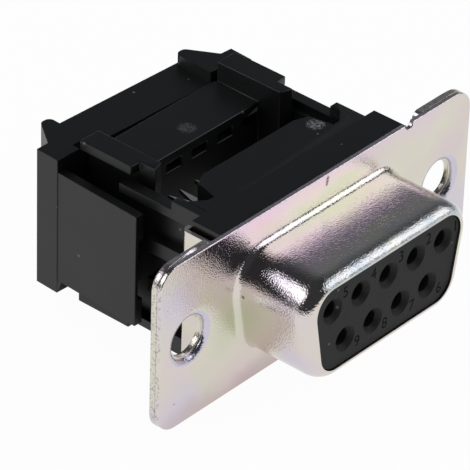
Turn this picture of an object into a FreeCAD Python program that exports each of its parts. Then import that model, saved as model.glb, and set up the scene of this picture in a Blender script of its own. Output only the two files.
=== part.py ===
import FreeCAD, Part

import math
import os

import Sketcher

# Ribbon cable socket, nine ways, D-shaped shell, with its cover in the open position.
# X runs along the flange, +Y runs from the mating face to the rear, Z is up.
# The origin is the centre of the flange's front face, midway between the two fixing holes.

SIZES = [
    # Metal shell
    ("sheet", 0.35),
    ("flange_end", 2.91),
    ("flange_height", 12.55),
    ("flange_corner", 1.6),
    ("hole_spacing", 24.99),
    ("hole_radius", 1.59),
    ("hole_rim", 0.25),
    ("shell_width", 16.33),
    ("shell_height", 7.9),
    ("shell_corner", 2.6),
    ("shell_depth", 6.0),
    ("side_angle", 10.0),
    ("tip_round", 1.15),
    ("tip_bevel_inside", 0.5),
    ("base_bevel", 0.45),
    ("key_notch_place", 8.9),
    ("key_notch_radius", 0.42),
    # Contact insulator
    ("lip_side", 1.0),
    ("lip_top", 0.7),
    ("face_corner", 1.6),
    ("face_recess", 0.14),
    ("part_fit", 0.05),
    ("contact_pitch", 2.77),
    ("row_pitch", 2.84),
    ("bore_radius", 0.6),
    ("bore_lead", 0.35),
    ("bore_depth", 1.2),
    # Contacts
    ("contact_radius", 0.75),
    ("pin_radius", 0.5),
    ("contact_step", 0.1),
    ("tail_thickness", 0.3),
    ("fork_pitch", 2.54),
    ("fork_height", 3.71),
    ("fork_half_width", 0.53),
    ("fork_tip", 8.2),
    ("fork_funnel", 1.4),
    ("wire_slot_half_width", 0.08),
    ("wire_slot_depth", 2.3),
    # Housing
    ("block_width", 18.1),
    ("block_height", 11.8),
    ("block_rear", 3.15),
    ("core_height", 11.7),
    ("core_rear", 6.25),
    ("core_corner_half_width", 4.4),
    ("core_side_rear", 5.8),
    ("core_half_width", 5.5),
    ("notch_root", 4.0),
    ("notch_root_half_width", 5.9),
    ("notch_far_half_width", 6.5),
    ("notch_lip", 4.8),
    ("arm_outside", 7.5),
    ("arm_rear", 10.2),
    ("rib_outside", 8.2),
    ("rail_inside", 7.3),
    ("rail_bottom", 4.45),
    ("rail_top", 5.15),
    ("tab_top", 5.82),
    ("tab_rear", 5.67),
    ("middle_rib_bottom", 1.0),
    ("middle_rib_top", 2.1),
    ("middle_rib_rear", 7.6),
    # Rear brackets
    ("bracket_sheet", 0.35),
    ("ear_sheet", 0.45),
    ("bracket_hole_radius", 1.43),
    ("ear_inside", 10.15),
    ("leg_outside", 9.65),
    ("leg_height", 10.7),
    ("hook_reach", 0.8),
    ("bend_round", 0.5),
    # Cover
    ("cover_front", 10.45),
    ("cover_rear", 14.45),
    ("cover_half_width", 5.85),
    ("cover_panel_height", 9.6),
    ("end_height", 12.7),
    ("end_front", 9.67),
    ("end_rear", 14.2),
    ("tongue_front", 8.3),
    ("tongue_slant", 0.3),
    ("guide_gap", 0.2),
    ("cover_end_outside", 6.8),
    ("cap_outside", 7.65),
    ("cap_thickness", 0.72),
    ("cover_travel", 3.2),
    # Strain relief
    ("relief_half_width", 9.1),
    ("relief_front", 14.3),
    ("relief_step", 16.25),
    ("relief_rear", 18.4),
    ("relief_height", 10.5),
    ("relief_cant", -2.8),
    ("relief_pivot", 15.5),
    ("horn_root_half_width", 8.1),
    ("horn_tip_half_width", 6.7),
    ("horn_round", 0.45),
    ("cable_half_width", 5.87),
    ("bridge_height", 8.8),
    ("relief_recess", 0.7),
    ("relief_recess_half_width", 7.05),
    ("clip_arm_inside", 8.35),
    ("clip_arm_outside", 9.05),
    ("clip_arm_front", 7.06),
    ("clip_arm_height", 8.56),
    ("clip_arm_groove", 0.4),
]

doc = FreeCAD.newDocument("RibbonSocket")
dims = doc.addObject("Spreadsheet::Sheet", "dims")
for row, (word, number) in enumerate(SIZES, start=1):
    dims.set(f"A{row}", word)
    dims.set(f"B{row}", str(number))
    dims.setAlias(f"B{row}", word)
doc.recompute()

# Lengths that follow from the sheet and that several pieces share
SHELL_HALF = "(dims.shell_height / 2)"
SHELL_MIDDLE = (
    "(dims.shell_width / 2 - (dims.shell_height / 2 - dims.shell_corner) * tan(dims.side_angle)"
    " - dims.shell_corner * (1 - 1 / cos(dims.side_angle)))"
)
LIP_MIDDLE = f"({SHELL_MIDDLE} - dims.lip_side / cos(dims.side_angle))"
LIP_HALF = f"({SHELL_HALF} - dims.lip_top)"
ROW_HEIGHT = "(dims.row_pitch / 2)"
BLOCK_HALF_WIDTH = "(dims.block_width / 2)"
SLOT_GAP = "(dims.part_fit * 2)"
ARM_INSIDE = "(dims.cover_end_outside + dims.guide_gap)"
FLANGE_HALF_WIDTH = "(dims.hole_spacing / 2 + dims.flange_end)"
EAR_REAR = "(dims.sheet + dims.ear_sheet)"

# Points closer than this are one point, in mm
TOUCH = 1e-3

# Where a new sketch's circles and dimensions start before the sheet moves them
START = 1


# Drawing helpers

def plane(body, role):
    """The body's own origin plane of that role."""
    return next(part for part in body.Origin.OriginFeatures if part.Role == role)


def new_sketch(body, name, role, offset="0"):
    """A sketch on one of the body's planes, moved by the offset along its normal."""
    sketch = body.newObject("Sketcher::SketchObject", name)
    sketch.AttachmentSupport = [(plane(body, role), "")]
    sketch.MapMode = "FlatFace"
    sketch.setExpression(".AttachmentOffset.Base.z", offset)
    return sketch


def bind(sketch, kind, place, value, expression):
    """Add one dimension to the sketch and bind it to an expression."""
    number = sketch.addConstraint(Sketcher.Constraint(kind, *place, value))
    sketch.setExpression(f"Constraints[{number}]", expression)


def add_polygon(sketch, corners):
    """A closed loop of straight lines through the corners, each a pair of expressions."""
    first = sketch.GeometryCount
    count = len(corners)
    points = []
    for index in range(count):
        turn = 2 * math.pi * index / count
        points.append(FreeCAD.Vector(math.cos(turn), math.sin(turn), 0))
    for index in range(count):
        sketch.addGeometry(Part.LineSegment(points[index], points[(index + 1) % count]), False)
    for index, (across, along) in enumerate(corners):
        line = first + index
        sketch.addConstraint(Sketcher.Constraint("Coincident", line, 2, first + (index + 1) % count, 1))
        bind(sketch, "DistanceX", (line, 1), points[index].x, across)
        bind(sketch, "DistanceY", (line, 1), points[index].y, along)


def add_rectangle(sketch, left, right, bottom, top):
    """A closed rectangle between four expressions."""
    add_polygon(sketch, [(left, bottom), (right, bottom), (right, top), (left, top)])


def add_circle(sketch, across, along, radius):
    """A circle whose centre and radius are expressions."""
    first = Part.Circle(FreeCAD.Vector(START, START, 0), FreeCAD.Vector(0, 0, 1), START)
    circle = sketch.addGeometry(first, False)
    bind(sketch, "DistanceX", (circle, 3), START, across)
    bind(sketch, "DistanceY", (circle, 3), START, along)
    bind(sketch, "Radius", (circle,), START, radius)


def extrude(body, name, sketch, length, to_rear=True):
    """Pad a sketch of the XZ plane to the rear (+Y) or to the front (-Y)."""
    pad = body.newObject("PartDesign::Pad", name)
    pad.Profile = sketch
    pad.setExpression("Length", length)
    pad.Reversed = to_rear
    doc.recompute()
    return pad


def extrude_both_ways(body, name, sketch, height):
    """Pad a sketch of a plan plane by half the height up and half down."""
    pad = body.newObject("PartDesign::Pad", name)
    pad.Profile = sketch
    pad.SideType = "Symmetric"
    pad.setExpression("Length", height)
    doc.recompute()
    return pad


def cut(body, name, sketch, length, to_rear=True):
    """Pocket a sketch of the XZ plane to the rear (+Y) or to the front (-Y)."""
    before = body.Shape.Volume
    pocket = body.newObject("PartDesign::Pocket", name)
    pocket.Profile = sketch
    pocket.setExpression("Length", length)
    pocket.Reversed = not to_rear
    doc.recompute()
    if body.Shape.Volume > before - TOUCH:
        raise RuntimeError(f"{name} cuts nothing")
    return pocket


def dress_edges(body, kind, name, size, wanted):
    """Fillet or chamfer the edges of the body's last feature that pass the test."""
    last = body.Tip
    names = [f"Edge{number}" for number, edge in enumerate(last.Shape.Edges, start=1) if wanted(edge)]
    if not names:
        raise RuntimeError(f"{name} finds no edge")
    dressed = body.newObject(f"PartDesign::{kind}", name)
    dressed.Base = (last, names)
    dressed.setExpression("Radius" if kind == "Fillet" else "Size", size)
    doc.recompute()
    return dressed


def mirror_across(body, name, role, features):
    """Mirror features across one of the body's origin planes."""
    mirrored = body.newObject("PartDesign::Mirrored", name)
    mirrored.Originals = features
    mirrored.MirrorPlane = (plane(body, role), [""])
    body.Tip = mirrored
    doc.recompute()
    return mirrored


def at_corners(sketch, direction):
    """Test for straight edges of one direction that start at a corner of the sketch."""
    corners = [vertex.Point for vertex in sketch.Shape.Vertexes]

    def wanted(edge):
        if edge.Curve.TypeId != "Part::GeomLine":
            return False
        if edge.tangentAt(edge.FirstParameter).cross(direction).Length > TOUCH:
            return False
        offsets = [(edge.CenterOfMass - corner).cross(direction).Length for corner in corners]
        return min(offsets) < TOUCH

    return wanted


def at_depth(depth, half_width):
    """Test for edges that lie at one depth, no further out than the half width."""
    def wanted(edge):
        box = edge.BoundBox
        level = max(abs(box.YMin - depth), abs(box.YMax - depth)) < TOUCH
        return level and max(-box.XMin, box.XMax) < half_width
    return wanted


def round_at(place, radius):
    """Test for a circular edge of one radius about a place."""
    def wanted(edge):
        if edge.Curve.TypeId != "Part::GeomCircle":
            return False
        return abs(edge.Curve.Radius - radius) < TOUCH and (edge.Curve.Center - place).Length < TOUCH
    return wanted


def upright_at(half_widths, depth):
    """Test for upright edges at one depth and at one of the half widths, on either side."""
    def wanted(edge):
        if edge.Curve.TypeId != "Part::GeomLine" or edge.BoundBox.ZLength < edge.Length - TOUCH:
            return False
        middle = edge.CenterOfMass
        return any((abs(abs(middle.x) - width) + abs(middle.y - depth)) < TOUCH for width in half_widths)
    return wanted


DEPTH = FreeCAD.Vector(0, 1, 0)
UPWARD = FreeCAD.Vector(0, 0, 1)


def d_outline(sketch, middle, half_height, radius):
    """The D form: four lines and four corner arcs, its sides leaning by the side angle."""
    lean = f"({half_height} - {radius}) * tan(dims.side_angle)"
    inward = f"{radius} / cos(dims.side_angle)"
    drop = f"({half_height} - {radius})"
    centres = [
        (f"{middle} + {lean} - {inward}", drop),
        (f"-({middle} + {lean} - {inward})", drop),
        (f"-({middle} - {lean} - {inward})", f"-{drop}"),
        (f"{middle} - {lean} - {inward}", f"-{drop}"),
    ]
    lean_angle = math.radians(dims.side_angle)
    turns = [-lean_angle, math.pi / 2, math.pi + lean_angle, 3 * math.pi / 2, 2 * math.pi - lean_angle]
    guess_centres = [(6, 2), (-6, 2), (-5, -2), (5, -2)]
    arcs = []
    for index, (across, along) in enumerate(guess_centres):
        circle = Part.Circle(FreeCAD.Vector(across, along, 0), FreeCAD.Vector(0, 0, 1), START)
        arcs.append(Part.ArcOfCircle(circle, turns[index], turns[index + 1]))
    numbers = [sketch.addGeometry(arc, False) for arc in arcs]
    for index, arc in enumerate(arcs):
        after = (index + 1) % len(arcs)
        line = sketch.addGeometry(Part.LineSegment(arc.EndPoint, arcs[after].StartPoint), False)
        sketch.addConstraint(Sketcher.Constraint("Tangent", numbers[index], 2, line, 1))
        sketch.addConstraint(Sketcher.Constraint("Tangent", line, 2, numbers[after], 1))
    for number, (across, along), guess in zip(numbers, centres, guess_centres):
        bind(sketch, "DistanceX", (number, 3), guess[0], across)
        bind(sketch, "DistanceY", (number, 3), guess[1], along)
        bind(sketch, "Radius", (number,), START, radius)


def d_inset(middle, half_height, radius, inset):
    """The D form's three sizes when its outline moves in by the inset."""
    return (f"({middle} - ({inset}) / cos(dims.side_angle))", f"({half_height} - ({inset}))",
            f"({radius} - ({inset}))")


# Front shell: the flange and the D-shaped nose, drawn from one sheet

def make_front_shell():
    """Flange, hollow nose with a rolled tip, two fixing holes and the small notch in the top edge."""
    body = doc.addObject("PartDesign::Body", "front_shell")

    flange = new_sketch(body, "flange_outline", "XZ_Plane")
    add_rectangle(flange, f"-{FLANGE_HALF_WIDTH}", FLANGE_HALF_WIDTH,
                  "-dims.flange_height / 2", "dims.flange_height / 2")
    extrude(body, "flange", flange, "dims.sheet")
    dress_edges(body, "Fillet", "flange_corners", "dims.flange_corner", at_corners(flange, DEPTH))

    nose = new_sketch(body, "nose_outline", "XZ_Plane")
    d_outline(nose, SHELL_MIDDLE, SHELL_HALF, "dims.shell_corner")
    extrude(body, "nose", nose, "dims.shell_depth", to_rear=False)
    dress_edges(body, "Fillet", "nose_tip", "dims.tip_round", at_depth(-dims.shell_depth, dims.shell_width))
    dress_edges(body, "Chamfer", "nose_base", "dims.base_bevel",
                at_depth(0, dims.shell_width / 2 + dims.sheet))

    hollow = new_sketch(body, "hollow_outline", "XZ_Plane", "-dims.sheet")
    d_outline(hollow, *d_inset(SHELL_MIDDLE, SHELL_HALF, "dims.shell_corner", "dims.sheet"))
    cut(body, "hollow", hollow, "dims.shell_depth", to_rear=False)
    dress_edges(body, "Chamfer", "hollow_tip", "dims.tip_bevel_inside",
                at_depth(dims.sheet - dims.shell_depth, dims.shell_width))

    mouth = new_sketch(body, "mouth_outline", "XZ_Plane", "dims.shell_depth")
    d_outline(mouth, LIP_MIDDLE, LIP_HALF, "dims.face_corner")
    cut(body, "mouth", mouth, "dims.tip_round")

    holes = new_sketch(body, "fixing_hole_outline", "XZ_Plane")
    for side in ("-", ""):
        add_circle(holes, f"{side}dims.hole_spacing / 2", "0", "dims.hole_radius")
    cut(body, "fixing_holes", holes, "dims.sheet")
    for side in (-1, 1):
        place = FreeCAD.Vector(side * dims.hole_spacing / 2, 0, 0)
        name = "left_hole_rim" if side < 0 else "right_hole_rim"
        dress_edges(body, "Chamfer", name, "dims.hole_rim", round_at(place, dims.hole_radius))

    notch = new_sketch(body, "key_notch_outline", "XZ_Plane")
    add_circle(notch, "dims.key_notch_place", "dims.flange_height / 2 - dims.key_notch_radius / 4",
               "dims.key_notch_radius")
    cut(body, "key_notch", notch, "dims.sheet")
    return body


# Rear brackets: one behind each ear, with a leg along the housing's end and a hook behind it

def make_bracket(label, side):
    """Ear plate with its hole, and a bent leg that hooks over the housing's front block."""
    body = doc.addObject("PartDesign::Body", label)
    sign = "-" if side < 0 else ""

    ear = new_sketch(body, f"{label}_ear_outline", "XZ_Plane", "-dims.sheet")
    add_rectangle(ear, f"{sign}dims.ear_inside", f"{sign}{FLANGE_HALF_WIDTH}",
                  "-dims.flange_height / 2", "dims.flange_height / 2")
    extrude(body, f"{label}_ear", ear, "dims.ear_sheet")
    corners = at_corners(ear, DEPTH)
    middle = dims.hole_spacing / 2
    dress_edges(body, "Fillet", f"{label}_ear_corners", "dims.flange_corner",
                lambda edge: corners(edge) and abs(edge.CenterOfMass.x) > middle)
    dress_edges(body, "Fillet", f"{label}_inner_corners", "dims.bend_round",
                lambda edge: corners(edge) and abs(edge.CenterOfMass.x) < middle)

    leg = new_sketch(body, f"{label}_leg_outline", "XY_Plane")
    outside = f"{sign}dims.leg_outside"
    inside = f"{sign}(dims.leg_outside - dims.bracket_sheet)"
    reach = f"{sign}(dims.leg_outside - dims.hook_reach)"
    add_polygon(leg, [
        (f"{sign}(dims.ear_inside + dims.bend_round)", "dims.sheet"),
        (f"{sign}(dims.ear_inside + dims.bend_round)", EAR_REAR),
        (outside, EAR_REAR),
        (outside, "dims.block_rear + dims.bracket_sheet"),
        (reach, "dims.block_rear + dims.bracket_sheet"),
        (reach, "dims.block_rear"),
        (inside, "dims.block_rear"),
        (inside, "dims.sheet"),
    ])
    extrude_both_ways(body, f"{label}_leg", leg, "dims.leg_height")
    bend = FreeCAD.Vector(side * dims.leg_outside, dims.block_rear + dims.bracket_sheet, 0)
    dress_edges(body, "Fillet", f"{label}_bend", "dims.bend_round",
                lambda edge: edge.Curve.TypeId == "Part::GeomLine"
                and (edge.CenterOfMass - bend).Length < TOUCH)

    hole = new_sketch(body, f"{label}_hole_outline", "XZ_Plane", "-dims.sheet")
    add_circle(hole, f"{sign}dims.hole_spacing / 2", "0", "dims.bracket_hole_radius")
    cut(body, f"{label}_hole", hole, "dims.ear_sheet")
    return body


# Contact insulator: fills the nose and carries the nine socket holes

def contact_places():
    """Number, steps from the middle and sign of height of the nine contacts, as marked on the face."""
    wide_row = range(1, 6)
    narrow_row = range(6, 10)
    for number in wide_row:
        yield number, sum(wide_row) / len(wide_row) - number, ""
    for number in narrow_row:
        yield number, sum(narrow_row) / len(narrow_row) - number, "-"


def make_insulator():
    """D-shaped block behind the rolled tip, its face standing in the mouth, bored nine times."""
    body = doc.addObject("PartDesign::Body", "contact_insulator")

    block = new_sketch(body, "insulator_outline", "XZ_Plane", "dims.shell_depth - dims.sheet - dims.part_fit")
    d_outline(block, *d_inset(SHELL_MIDDLE, SHELL_HALF, "dims.shell_corner", "dims.sheet + dims.part_fit"))
    extrude(body, "insulator_block", block, "dims.shell_depth - dims.part_fit")
    shoulder = dims.sheet + dims.part_fit - dims.shell_depth
    dress_edges(body, "Chamfer", "insulator_shoulder", "dims.tip_bevel_inside",
                at_depth(shoulder, dims.shell_width))

    face = new_sketch(body, "face_outline", "XZ_Plane", "dims.shell_depth - dims.face_recess")
    d_outline(face, *d_inset(LIP_MIDDLE, LIP_HALF, "dims.face_corner", "dims.part_fit"))
    extrude(body, "face", face, "dims.shell_depth / 2")

    bores = new_sketch(body, "bore_outline", "XZ_Plane", "dims.shell_depth - dims.face_recess")
    for _, step, sign in contact_places():
        add_circle(bores, f"{step} * dims.contact_pitch", f"{sign}{ROW_HEIGHT}", "dims.bore_radius")
    cut(body, "bores", bores, "dims.bore_depth")
    face_depth = dims.face_recess - dims.shell_depth
    dress_edges(body, "Chamfer", "bore_leads", "dims.bore_lead",
                lambda edge: edge.Curve.TypeId == "Part::GeomCircle"
                and abs(edge.Curve.Center.y - face_depth) < TOUCH
                and abs(edge.Curve.Radius - dims.bore_radius) < TOUCH)

    seats = new_sketch(body, "seat_outline", "XZ_Plane",
                       "dims.shell_depth - dims.face_recess - dims.bore_depth")
    for _, step, sign in contact_places():
        add_circle(seats, f"{step} * dims.contact_pitch", f"{sign}{ROW_HEIGHT}",
                   "dims.contact_radius + dims.part_fit")
    cut(body, "seats", seats, "dims.shell_depth + dims.sheet")
    return body


# Contacts: a round socket in front, a strip across and a forked blade that bites a wire

def make_contact(number, step, sign):
    """Socket tube, cross strip and fork, shifted from the contact pitch to the wire pitch."""
    label = f"contact_{number}"
    body = doc.addObject("PartDesign::Body", label)
    across = f"{step} * dims.contact_pitch"
    wire = f"{step} * dims.fork_pitch"
    front = "(dims.shell_depth - dims.face_recess - dims.bore_depth - dims.part_fit)"
    strip_front = "(dims.sheet + dims.contact_step)"

    tube = new_sketch(body, f"{label}_tube_outline", "XZ_Plane", front)
    add_circle(tube, across, f"{sign}{ROW_HEIGHT}", "dims.contact_radius")
    extrude(body, f"{label}_tube", tube, f"{front} + {strip_front}")

    strip = new_sketch(body, f"{label}_strip_outline", "XZ_Plane", f"-{strip_front}")
    low = f"{sign}({ROW_HEIGHT} - dims.contact_radius)"
    high = f"{sign}(dims.fork_height + dims.tail_thickness / 2)"
    add_polygon(strip, [
        (f"{across} - dims.fork_half_width", low),
        (f"{across} + dims.fork_half_width", low),
        (f"{wire} + dims.fork_half_width", high),
        (f"{wire} - dims.fork_half_width", high),
    ])
    extrude(body, f"{label}_strip", strip, "dims.tail_thickness")

    bore = new_sketch(body, f"{label}_pin_outline", "XZ_Plane", front)
    add_circle(bore, across, f"{sign}{ROW_HEIGHT}", "dims.pin_radius")
    cut(body, f"{label}_pin_bore", bore, front)

    fork = new_sketch(body, f"{label}_fork_outline", "XY_Plane", f"{sign}dims.fork_height")
    throat = "dims.fork_tip - dims.fork_funnel"
    crotch = "dims.fork_tip - dims.wire_slot_depth"
    add_polygon(fork, [
        (f"{wire} - dims.fork_half_width", strip_front),
        (f"{wire} + dims.fork_half_width", strip_front),
        (f"{wire} + dims.fork_half_width", "dims.fork_tip"),
        (f"{wire} + dims.wire_slot_half_width", throat),
        (f"{wire} + dims.wire_slot_half_width", crotch),
        (f"{wire} - dims.wire_slot_half_width", crotch),
        (f"{wire} - dims.wire_slot_half_width", throat),
        (f"{wire} - dims.fork_half_width", "dims.fork_tip"),
    ])
    extrude_both_ways(body, f"{label}_fork", fork, "dims.tail_thickness")
    return body


# Housing: block behind the flange, wire-fork core and two guide arms for the cover

def make_housing():
    """Front block, notched core, end arms with rails, tabs and ribs, and pockets for the contacts."""
    body = doc.addObject("PartDesign::Body", "housing")

    block = new_sketch(body, "block_outline", "XZ_Plane", "-dims.sheet")
    add_rectangle(block, f"-{BLOCK_HALF_WIDTH}", BLOCK_HALF_WIDTH,
                  "-dims.block_height / 2", "dims.block_height / 2")
    extrude(body, "block", block, "dims.block_rear - dims.sheet")

    core = new_sketch(body, "core_outline", "XY_Plane")
    right = [
        ("dims.arm_outside", "dims.block_rear"),
        ("dims.arm_outside", "dims.notch_lip"),
        ("dims.notch_far_half_width", "dims.notch_root"),
        ("dims.notch_root_half_width", "dims.notch_root"),
        ("dims.core_half_width", "dims.core_side_rear"),
        ("dims.core_corner_half_width", "dims.core_rear"),
    ]
    left = [(f"-{across}", along) for across, along in reversed(right)]
    add_polygon(core, right + left)
    extrude_both_ways(body, "core", core, "dims.core_height")

    add_arm(body)
    add_contact_pockets(body)
    return body


def add_arm(body):
    """The right end's arm, rails, tabs and ribs, then their mirror image on the left."""
    arm = new_sketch(body, "arm_outline", "XZ_Plane", "-dims.block_rear")
    add_rectangle(arm, ARM_INSIDE, "dims.arm_outside", "-dims.rail_bottom", "dims.rail_bottom")
    parts = [extrude(body, "arm", arm, "dims.arm_rear - dims.block_rear")]

    strips = [
        ("rail", "dims.rail_inside", "dims.rail_bottom", "dims.rail_top", "dims.arm_rear"),
        ("tab", "dims.arm_outside", "dims.rail_top", "dims.tab_top", "dims.tab_rear"),
        ("middle_rib", "dims.arm_outside", "dims.middle_rib_bottom", "dims.middle_rib_top",
         "dims.middle_rib_rear"),
    ]
    for name, inside, bottom, top, rear in strips:
        sketch = new_sketch(body, f"{name}_outline", "XZ_Plane", "-dims.block_rear")
        add_rectangle(sketch, inside, "dims.rib_outside", bottom, top)
        add_rectangle(sketch, inside, "dims.rib_outside", f"-{top}", f"-{bottom}")
        parts.append(extrude(body, name, sketch, f"{rear} - dims.block_rear"))
    mirror_across(body, "left_arm", "YZ_Plane", parts)


def add_contact_pockets(body):
    """Nine pockets in the front face for the cross strips and nine slots for the forks."""
    strips = new_sketch(body, "strip_pocket_outline", "XZ_Plane", "-dims.sheet")
    slots = new_sketch(body, "fork_slot_outline", "XZ_Plane", "-dims.sheet")
    for _, step, sign in contact_places():
        across = f"{step} * dims.contact_pitch"
        wire = f"{step} * dims.fork_pitch"
        reach = "(dims.contact_radius + dims.guide_gap)"
        low = f"{sign}({ROW_HEIGHT} - {reach})"
        high = f"{sign}(dims.fork_height + dims.tail_thickness / 2 + {SLOT_GAP})"
        add_polygon(strips, [
            (f"{across} - {reach}", low),
            (f"{across} + {reach}", low),
            (f"{wire} + {reach}", high),
            (f"{wire} - {reach}", high),
        ])
        half_width = f"(dims.fork_half_width + {SLOT_GAP})"
        half_height = f"(dims.tail_thickness / 2 + {SLOT_GAP})"
        add_rectangle(slots, f"{wire} - {half_width}", f"{wire} + {half_width}",
                      f"{sign}dims.fork_height - {half_height}", f"{sign}dims.fork_height + {half_height}")
    cut(body, "strip_pockets", strips, "dims.contact_step + dims.tail_thickness + dims.part_fit")
    cut(body, "fork_slots", slots, "dims.core_rear")


# Cover: the clamp that presses a ribbon cable onto the forks, drawn back in its open position

def make_cover():
    """Sunken panel between two raised ends, whose tongues and caps run on the housing's arms."""
    body = doc.addObject("PartDesign::Body", "cover")

    panel = new_sketch(body, "panel_outline", "XZ_Plane", "-dims.cover_front")
    add_rectangle(panel, "-dims.cover_half_width", "dims.cover_half_width",
                  "-dims.cover_panel_height / 2", "dims.cover_panel_height / 2")
    extrude(body, "panel", panel, "dims.cover_rear - dims.cover_front")

    end = new_sketch(body, "end_outline", "XZ_Plane", "-dims.end_front")
    under = "(dims.end_height / 2 - dims.cap_thickness)"
    top = "dims.end_height / 2"
    outside = "dims.cover_end_outside"
    add_polygon(end, [
        ("dims.cover_half_width", f"-{top}"),
        ("dims.cap_outside", f"-{top}"),
        ("dims.cap_outside", f"-{under}"),
        (outside, f"-{under}"),
        (outside, under),
        ("dims.cap_outside", under),
        ("dims.cap_outside", top),
        ("dims.cover_half_width", top),
    ])
    right_end = extrude(body, "right_end", end, "dims.end_rear - dims.end_front")

    tongue = new_sketch(body, "tongue_outline", "XY_Plane")
    add_polygon(tongue, [
        ("dims.cover_half_width", "dims.end_front"),
        ("dims.cover_half_width", "dims.tongue_front + dims.tongue_slant"),
        (outside, "dims.tongue_front"),
        (outside, "dims.end_front"),
    ])
    right_tongue = extrude_both_ways(body, "right_tongue", tongue, "dims.end_height")
    mirror_across(body, "left_end", "YZ_Plane", [right_end, right_tongue])

    pockets = new_sketch(body, "fork_pocket_outline", "XZ_Plane", "-dims.cover_front")
    for _, step, sign in contact_places():
        wire = f"{step} * dims.fork_pitch"
        half_width = "(dims.fork_half_width + dims.guide_gap)"
        half_height = "(dims.tail_thickness / 2 + dims.guide_gap)"
        add_rectangle(pockets, f"{wire} - {half_width}", f"{wire} + {half_width}",
                      f"{sign}dims.fork_height - {half_height}", f"{sign}dims.fork_height + {half_height}")
    cut(body, "fork_pockets", pockets, "dims.fork_tip - dims.cover_front + dims.cover_travel + dims.guide_gap * 2")
    return body


# Strain relief: clip pushed on from the rear, a little askew as it sits before it is pressed home

def make_strain_relief():
    """Cable bridge between two horns, with two long side arms that straddle the housing's end arms."""
    body = doc.addObject("PartDesign::Body", "strain_relief")

    horn = new_sketch(body, "horn_outline", "XY_Plane")
    add_polygon(horn, [
        ("dims.cable_half_width", "dims.relief_front"),
        ("dims.relief_half_width", "dims.relief_front"),
        ("dims.relief_half_width", "dims.relief_step"),
        ("dims.horn_root_half_width", "dims.relief_step"),
        ("dims.horn_tip_half_width", "dims.relief_rear"),
        ("dims.cable_half_width", "dims.relief_rear"),
    ])
    right_horn = extrude_both_ways(body, "right_horn", horn, "dims.relief_height")

    clip_arm = new_sketch(body, "clip_arm_outline", "XZ_Plane", "-dims.clip_arm_front")
    add_rectangle(clip_arm, "dims.clip_arm_inside", "dims.clip_arm_outside",
                  "-dims.clip_arm_height / 2", "dims.clip_arm_height / 2")
    right_clip_arm = extrude(body, "right_clip_arm", clip_arm, "dims.relief_front - dims.clip_arm_front")

    groove = new_sketch(body, "clip_arm_groove_outline", "XZ_Plane", "-dims.clip_arm_front")
    for top, bottom in (("dims.middle_rib_top", "dims.middle_rib_bottom"),
                        ("-dims.middle_rib_bottom", "-dims.middle_rib_top")):
        add_rectangle(groove, "dims.clip_arm_inside - dims.guide_gap",
                      "dims.clip_arm_inside + dims.clip_arm_groove",
                      f"{bottom} - dims.guide_gap", f"{top} + dims.guide_gap")
    grooves = cut(body, "right_clip_arm_grooves", groove, "dims.relief_front - dims.clip_arm_front")
    mirror_across(body, "left_half", "YZ_Plane", [right_horn, right_clip_arm, grooves])

    bridge = new_sketch(body, "bridge_outline", "XZ_Plane", "-dims.relief_front")
    add_rectangle(bridge, "-dims.cable_half_width", "dims.cable_half_width",
                  "-dims.bridge_height / 2", "dims.bridge_height / 2")
    extrude(body, "bridge", bridge, "dims.relief_rear - dims.relief_front")
    dress_edges(body, "Fillet", "horn_corners", "dims.horn_round",
                upright_at([dims.horn_tip_half_width, dims.cable_half_width], dims.relief_rear))

    recess = new_sketch(body, "recess_outline", "XZ_Plane", "-dims.relief_front")
    add_rectangle(recess, "-dims.relief_recess_half_width", "dims.relief_recess_half_width",
                  "-dims.relief_height", "dims.relief_height")
    cut(body, "recess", recess, "dims.relief_recess")

    body.setExpression("Placement.Rotation.Angle", "dims.relief_cant")
    body.Placement = FreeCAD.Placement(FreeCAD.Vector(0, 0, 0), UPWARD, dims.relief_cant)
    body.setExpression("Placement.Base.x", "dims.relief_pivot * sin(dims.relief_cant)")
    body.setExpression("Placement.Base.y", "dims.relief_pivot * (1 - cos(dims.relief_cant))")
    return body


def make_all():
    """Every sub-part of the connector."""
    bodies = [
        make_front_shell(),
        make_bracket("left_bracket", -1),
        make_bracket("right_bracket", 1),
        make_insulator(),
        make_housing(),
        make_cover(),
        make_strain_relief(),
    ]
    bodies += [make_contact(*place) for place in contact_places()]
    return bodies


bodies = make_all()
doc.recompute()

for item in doc.Objects:
    if "Invalid" in item.State or "Error" in item.State:
        raise RuntimeError(f"{item.Name} failed: {item.State}")

os.makedirs("parts", exist_ok=True)
for body in bodies:
    shape = body.Shape
    if shape.isNull() or not shape.isValid() or len(shape.Solids) != 1:
        raise RuntimeError(f"{body.Label} is not one valid solid")
    shape.exportStep(f"parts/{body.Label}.step")
    print(body.Label, round(shape.Volume, 2))
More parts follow.
